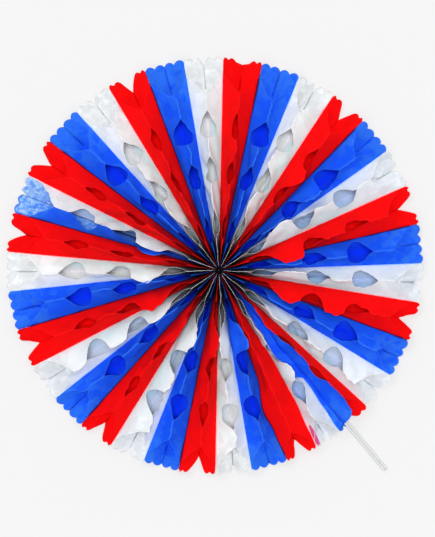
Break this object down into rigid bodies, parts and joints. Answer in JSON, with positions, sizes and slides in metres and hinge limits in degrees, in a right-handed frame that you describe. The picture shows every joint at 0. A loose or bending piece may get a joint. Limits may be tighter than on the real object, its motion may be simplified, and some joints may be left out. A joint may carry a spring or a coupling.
{
  "type": "paper fan rosette",
  "caption": "Round honeycomb fan of die-cut tissue in red, blue and white, opened flat to a full circle, with its slim handle sticks together at the rim.",
  "frame": {"origin": "the bound centre of the fan, at the level of the surface that it lies on", "axes": "+Z out of the front; +Y up and +X right, as the front is seen with the sticks at the lower right"},
  "size_m": [0.5992, 0.5994, 0.0621],
  "materials": {
    "red_tissue": "matt tissue",
    "blue_tissue": "matt tissue",
    "white_tissue": "matt tissue",
    "stick": "satin plastic",
    "thread": "cotton thread"
  },
  "bodies": {
    "root": {"blue_side_stick": "stick", "centre_thread": "thread", "pleat_01_red": "red_tissue", "pleat_02_blue": "blue_tissue", "pleat_03_white": "white_tissue", "pleat_04_red": "red_tissue", "pleat_05_blue": "blue_tissue", "pleat_06_white": "white_tissue", "pleat_07_red": "red_tissue", "pleat_08_blue": "blue_tissue", "pleat_09_white": "white_tissue", "pleat_10_red": "red_tissue", "pleat_11_blue": "blue_tissue", "pleat_12_white": "white_tissue", "pleat_13_blue_sheet": "blue_tissue", "pleat_13_red_sheet": "red_tissue", "pleat_14_white": "white_tissue", "pleat_15_red": "red_tissue", "pleat_16_blue": "blue_tissue", "pleat_17_white": "white_tissue", "pleat_18_red": "red_tissue", "pleat_19_blue": "blue_tissue", "pleat_20_white": "white_tissue", "pleat_21_red": "red_tissue", "pleat_22_blue": "blue_tissue", "pleat_23_white": "white_tissue", "pleat_24_red": "red_tissue", "pleat_25_blue": "blue_tissue", "pleat_26_white": "white_tissue", "pleat_27_red": "red_tissue", "pleat_28_blue_sheet": "blue_tissue", "pleat_28_white_sheet": "white_tissue", "pleat_29_red": "red_tissue", "pleat_30_blue": "blue_tissue", "pleat_31_white": "white_tissue", "pleat_32_red": "red_tissue", "pleat_33_blue": "blue_tissue", "pleat_34_white": "white_tissue", "red_side_stick": "stick"}
  },
  "joints": []
}
